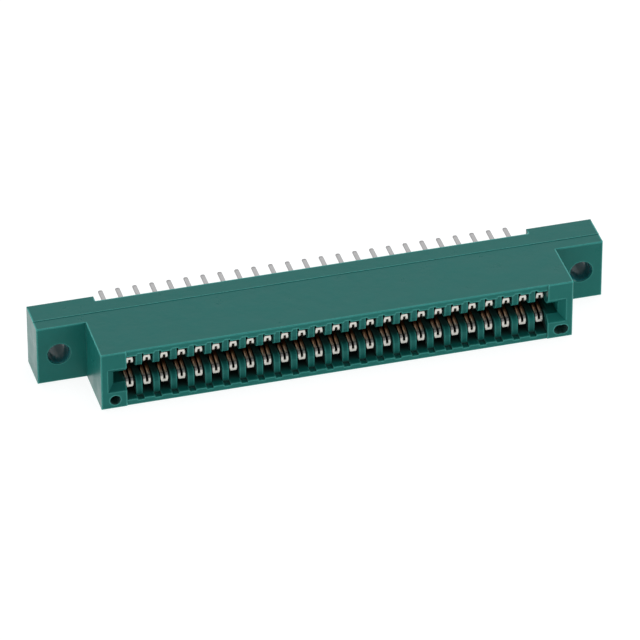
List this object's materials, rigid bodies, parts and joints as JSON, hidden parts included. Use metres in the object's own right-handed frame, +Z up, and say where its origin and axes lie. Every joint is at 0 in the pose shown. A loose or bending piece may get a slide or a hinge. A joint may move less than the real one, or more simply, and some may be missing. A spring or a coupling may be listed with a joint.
{
  "type": "card edge connector",
  "caption": "Card edge connector with a moulded housing, mounting ears, a card slot lined with forked spring contacts and straight solder tails.",
  "frame": {"origin": "midway between the two mounting holes, at mid height, on the seating face behind the ears", "axes": "+X along the contact rows, to the right as seen from the card side; +Y from the card side to the solder tails; +Z up, across the card's thickness"},
  "size_m": [0.0846, 0.0192, 0.0094],
  "materials": {
    "housing": "moulded teal green thermoset, semi-gloss",
    "contact": "copper alloy strip, tin plated, satin"
  },
  "bodies": {
    "root": {"housing": "housing", "contact_upper_01": "contact", "contact_upper_02": "contact", "contact_upper_03": "contact", "contact_upper_04": "contact", "contact_upper_05": "contact", "contact_upper_06": "contact", "contact_upper_07": "contact", "contact_upper_08": "contact", "contact_upper_09": "contact", "contact_upper_10": "contact", "contact_upper_11": "contact", "contact_upper_12": "contact", "contact_upper_13": "contact", "contact_upper_14": "contact", "contact_upper_15": "contact", "contact_upper_16": "contact", "contact_upper_17": "contact", "contact_upper_18": "contact", "contact_upper_19": "contact", "contact_upper_20": "contact", "contact_upper_21": "contact", "contact_upper_22": "contact", "contact_upper_23": "contact", "contact_upper_24": "contact", "contact_upper_25": "contact", "contact_lower_01": "contact", "contact_lower_02": "contact", "contact_lower_03": "contact", "contact_lower_04": "contact", "contact_lower_05": "contact", "contact_lower_06": "contact", "contact_lower_07": "contact", "contact_lower_08": "contact", "contact_lower_09": "contact", "contact_lower_10": "contact", "contact_lower_11": "contact", "contact_lower_12": "contact", "contact_lower_13": "contact", "contact_lower_14": "contact", "contact_lower_15": "contact", "contact_lower_16": "contact", "contact_lower_17": "contact", "contact_lower_18": "contact", "contact_lower_19": "contact", "contact_lower_20": "contact", "contact_lower_21": "contact", "contact_lower_22": "contact", "contact_lower_23": "contact", "contact_lower_24": "contact", "contact_lower_25": "contact"}
  },
  "joints": []
}
